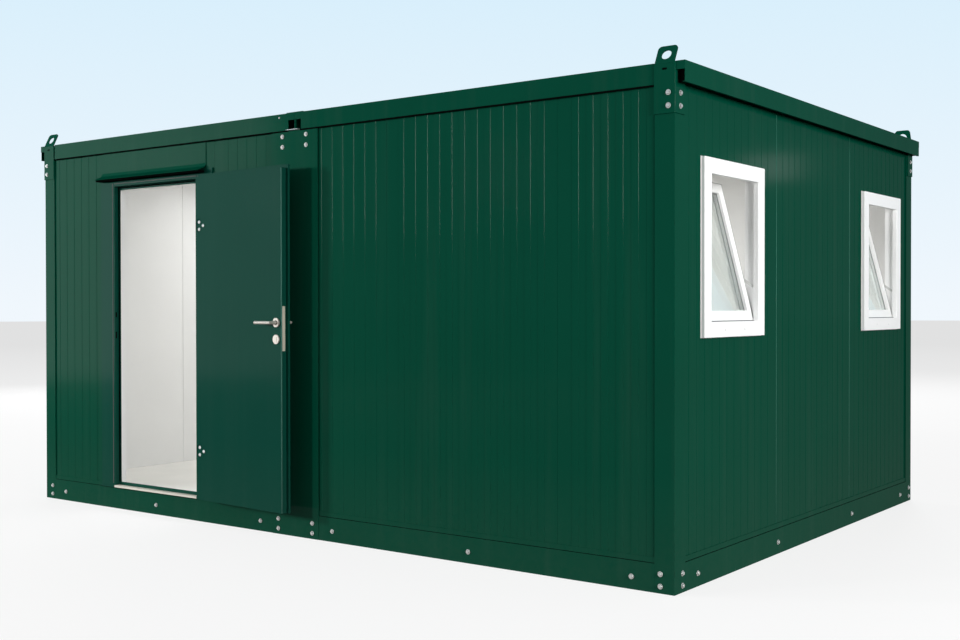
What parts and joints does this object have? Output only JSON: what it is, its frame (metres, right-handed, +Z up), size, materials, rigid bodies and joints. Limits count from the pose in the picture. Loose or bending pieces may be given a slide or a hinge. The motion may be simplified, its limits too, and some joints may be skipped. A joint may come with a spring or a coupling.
{
  "type": "portable site cabin",
  "caption": "Flat-roofed portable site cabin of two bolted steel modules with ribbed walls, an outward-opening door, tilted windows and lifting lugs.",
  "frame": {"origin": "centre of the footprint over the posts, on the ground", "axes": "+X along the door front, to the right as seen from outside; +Y from the door front to the back; +Z up"},
  "size_m": [4.972, 3.6747, 2.5211],
  "materials": {
    "green_steel": "semi-gloss moss green paint",
    "green_panel": "satin moss green coated sheet",
    "green_door": "satin moss green coated sheet",
    "galvanised": "spangled zinc",
    "black_steel": "matt black",
    "white_sheet": "matt white coated sheet",
    "white_pvc": "smooth white uPVC",
    "floor_vinyl": "pale beige sheet vinyl",
    "clear_glass": "clear double glazing",
    "satin_lever": "satin anodised",
    "bright_steel": "bright zinc"
  },
  "bodies": {
    "cabin": {"back_wall": "green_panel", "base_middle_rail": "green_steel", "base_rails": "green_steel", "base_trims": "green_steel", "ceiling": "white_sheet", "ceiling_joint_cover": "white_sheet", "corner_posts": "green_steel", "door_head": "green_steel", "door_hood": "green_steel", "door_inner_trim": "white_sheet", "door_jambs": "green_steel", "door_sill": "green_steel", "floor_decks": "floor_vinyl", "floor_joists": "galvanised", "frame_hinges": "bright_steel", "front_wall_left_of_door": "green_panel", "front_wall_over_door": "green_panel", "front_wall_right": "green_panel", "front_wall_right_of_door": "green_panel", "gutter_spouts": "galvanised", "joint_covers": "green_steel", "left_wall": "green_panel", "lifting_brackets": "green_steel", "lining_strips": "white_sheet", "middle_posts": "green_steel", "right_wall_back": "green_panel", "right_wall_front": "green_panel", "right_wall_middle": "green_panel", "roof_edges": "green_steel", "roof_joint_cap": "green_steel", "roof_panels": "galvanised", "roof_rails": "green_steel", "sash_hinges": "white_pvc", "wall_lining": "white_sheet", "window_frames": "white_pvc", "window_glass": "clear_glass", "window_sashes": "white_pvc", "window_stays": "bright_steel"},
    "door": {"door_leaf": "green_door", "leaf_hinges": "bright_steel", "door_lock": "bright_steel", "door_roses": "satin_lever"},
    "lever": {"door_levers": "satin_lever"}
  },
  "joints": [
    {"name": "door_hinge", "type": "hinge", "parent": "cabin", "child": "door", "pos_m": [-0.802, -1.751, 1.135], "axis": [0, 0, 1], "range_deg": [-175.6, 2]},
    {"name": "lever_turn", "type": "hinge", "parent": "door", "child": "lever", "pos_m": [0.00611, -1.84578, 1.234], "axis": [-0.0767, -0.9971, 0], "range_deg": [0, 40], "stiffness_Nm_per_rad": 1.5, "springref_deg": -20.05}
  ]
}
